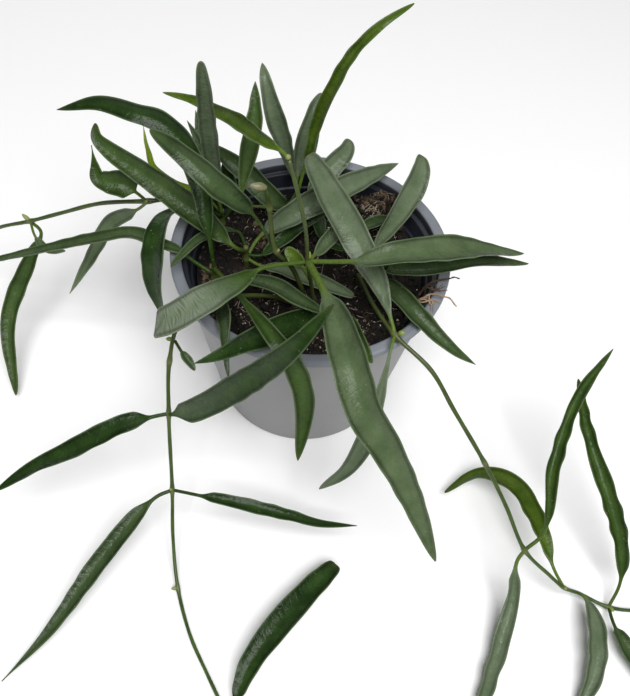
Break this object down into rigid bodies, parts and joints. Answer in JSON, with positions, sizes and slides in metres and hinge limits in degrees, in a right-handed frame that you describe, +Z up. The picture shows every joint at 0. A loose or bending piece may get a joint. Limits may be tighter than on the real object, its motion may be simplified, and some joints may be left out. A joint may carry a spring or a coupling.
{
  "type": "potted hoya plant",
  "caption": "Trailing hoya with long narrow waxy leaves in a small round nursery pot; its vines arch over the rim and lie along the surface.",
  "frame": {"origin": "middle of the pot's base, on the surface that the pot stands on", "axes": "+Z up along the pot's axis; the front of the picture's view is -Y and its right is +X"},
  "size_m": [0.447, 0.3071, 0.1806],
  "materials": {
    "pot_plastic": "moulded grey polypropylene, satin, with a cooler blue grey rim",
    "peat_mix": "loose dark peat with coir fibre, bark and pale grit",
    "leaf_green": "thick waxy dark green leaf with a grey sheen and faint mottling; olive green stems",
    "rootlet_brown": "dry dark brown rootlet",
    "rootlet_tan": "dry tan rootlet"
  },
  "bodies": {
    "root": {"pot": "pot_plastic", "soil": "peat_mix", "stem_central": "leaf_green", "stem_cut_off": "leaf_green", "vine_left": "leaf_green", "vine_right": "leaf_green", "vine_upper_left": "leaf_green", "crown_stem_left": "leaf_green", "crown_stem_back_left": "leaf_green", "crown_stem_middle": "leaf_green", "crown_stem_back": "leaf_green", "crown_stem_back_right": "leaf_green", "crown_stem_right": "leaf_green", "crown_stem_front": "leaf_green", "rim_rootlet_dark": "rootlet_brown", "rim_rootlet_tan": "rootlet_tan"}
  },
  "joints": []
}
